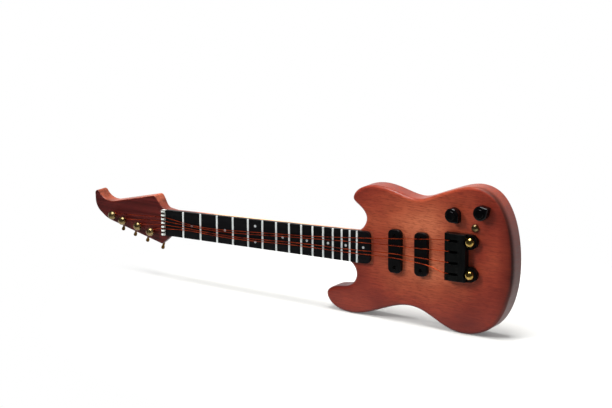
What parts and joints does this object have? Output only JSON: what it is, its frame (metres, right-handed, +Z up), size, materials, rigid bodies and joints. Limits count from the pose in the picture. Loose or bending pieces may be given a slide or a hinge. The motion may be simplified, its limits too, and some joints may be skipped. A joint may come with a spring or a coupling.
{
  "type": "electric bass guitar",
  "caption": "Small wooden display model of an electric bass guitar that stands on its edge, with horned body, hooked headstock, wire strings, and knobs and tuner keys that turn.",
  "frame": {"origin": "centre of the bounding box's bottom, level with the two points of the bass edge that it stands on", "axes": "+X from the headstock to the tail, +Y from the front face to the back, +Z up, from the bass edge to the treble edge"},
  "size_m": [0.2514, 0.0172, 0.0753],
  "materials": {
    "stained_wood": "satin lacquer",
    "dark_stained_wood": "satin lacquer",
    "plain_wood": "bare",
    "black_lacquered_wood": "satin lacquer",
    "fret_metal": "satin",
    "white_inlay": "gloss",
    "white_nut": "satin",
    "black_pickup": "satin",
    "dark_screw": "satin",
    "black_bridge": "satin",
    "brass": "polished",
    "black_knob": "gloss",
    "spindle_steel": "brushed",
    "copper_wire": "drawn wire"
  },
  "bodies": {
    "instrument": {"body": "stained_wood", "neck": "dark_stained_wood", "neck_dowels": "plain_wood", "fingerboard": "black_lacquered_wood", "fret_01": "fret_metal", "fret_02": "fret_metal", "fret_03": "fret_metal", "fret_04": "fret_metal", "fret_05": "fret_metal", "fret_06": "fret_metal", "fret_07": "fret_metal", "fret_08": "fret_metal", "fret_09": "fret_metal", "fret_10": "fret_metal", "fret_11": "fret_metal", "fret_12": "fret_metal", "fret_13": "fret_metal", "fret_14": "fret_metal", "fret_15": "fret_metal", "inlay_dots": "white_inlay", "nut": "white_nut", "neck_pickup": "black_pickup", "bridge_pickup": "black_pickup", "pickup_screws": "dark_screw", "bridge": "black_bridge", "bridge_pin_treble": "brass", "bridge_pin_bass": "brass", "switch_stud": "brass", "tuner_post_1": "brass", "tuner_post_2": "brass", "tuner_post_3": "brass", "tuner_post_4": "brass", "volume_spindle": "spindle_steel", "tone_spindle": "spindle_steel", "string_1": "copper_wire", "string_2": "copper_wire", "string_3": "copper_wire", "string_4": "copper_wire"},
    "volume_knob_body": {"volume_knob": "black_knob"},
    "tone_knob_body": {"tone_knob": "black_knob"},
    "tuner_key_1_body": {"tuner_key_1": "brass"},
    "tuner_key_2_body": {"tuner_key_2": "brass"},
    "tuner_key_3_body": {"tuner_key_3": "brass"},
    "tuner_key_4_body": {"tuner_key_4": "brass"}
  },
  "joints": [
    {"name": "volume_knob_turn", "type": "hinge", "parent": "instrument", "child": "volume_knob_body", "pos_m": [0.09335, -0.0036, 0.06038], "axis": [0, -1, 0], "continuous": true},
    {"name": "tone_knob_turn", "type": "hinge", "parent": "instrument", "child": "tone_knob_body", "pos_m": [0.1086, -0.0036, 0.06359], "axis": [0, -1, 0], "continuous": true},
    {"name": "tuner_key_1_turn", "type": "hinge", "parent": "instrument", "child": "tuner_key_1_body", "pos_m": [-0.10863, 0.0013, 0.02537], "axis": [-0.2394, 0, -0.9709], "continuous": true},
    {"name": "tuner_key_2_turn", "type": "hinge", "parent": "instrument", "child": "tuner_key_2_body", "pos_m": [-0.10064, 0.0013, 0.0234], "axis": [-0.2394, 0, -0.9709], "continuous": true},
    {"name": "tuner_key_3_turn", "type": "hinge", "parent": "instrument", "child": "tuner_key_3_body", "pos_m": [-0.09245, 0.0013, 0.02138], "axis": [-0.2394, 0, -0.9709], "continuous": true},
    {"name": "tuner_key_4_turn", "type": "hinge", "parent": "instrument", "child": "tuner_key_4_body", "pos_m": [-0.08235, 0.0013, 0.01889], "axis": [-0.2394, 0, -0.9709], "continuous": true}
  ]
}
